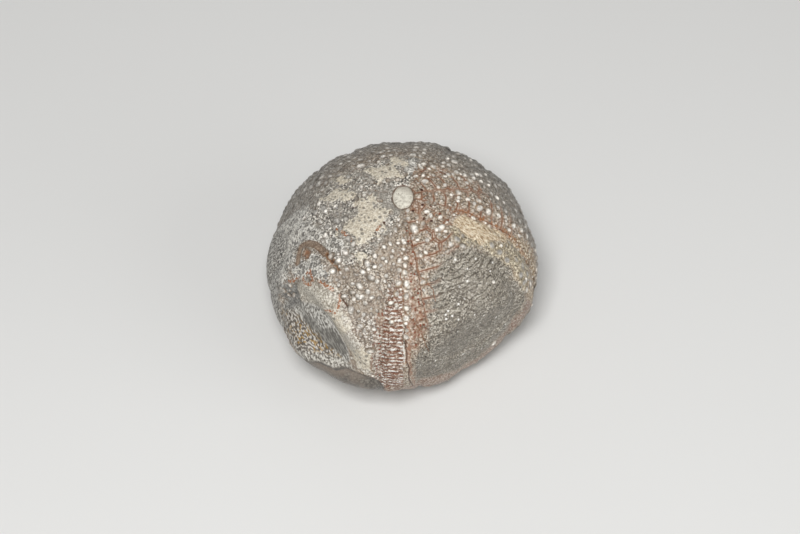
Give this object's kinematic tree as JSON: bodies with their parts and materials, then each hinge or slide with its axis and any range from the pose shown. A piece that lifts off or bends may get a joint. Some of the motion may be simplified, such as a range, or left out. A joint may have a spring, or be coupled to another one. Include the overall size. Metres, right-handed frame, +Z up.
{
  "type": "fossil sea urchin",
  "caption": "Round fossil urchin test with five rays of tubercles, a worn flank, a broken scar, a limestone plug at the crown and a flat-worn base.",
  "frame": {"origin": "centre of the widest section, dropped to the resting plane of the flat-worn base", "axes": "+Z up through the crown, -Y along the midline of the front ray, +X to the right of it"},
  "size_m": [0.0406, 0.0401, 0.0284],
  "materials": {
    "fossil_calcite": "dull grey-brown calcite with paler tubercles, rust-brown sutures and cream limestone crust"
  },
  "bodies": {
    "root": {"sea_urchin_fossil": "fossil_calcite"}
  },
  "joints": []
}
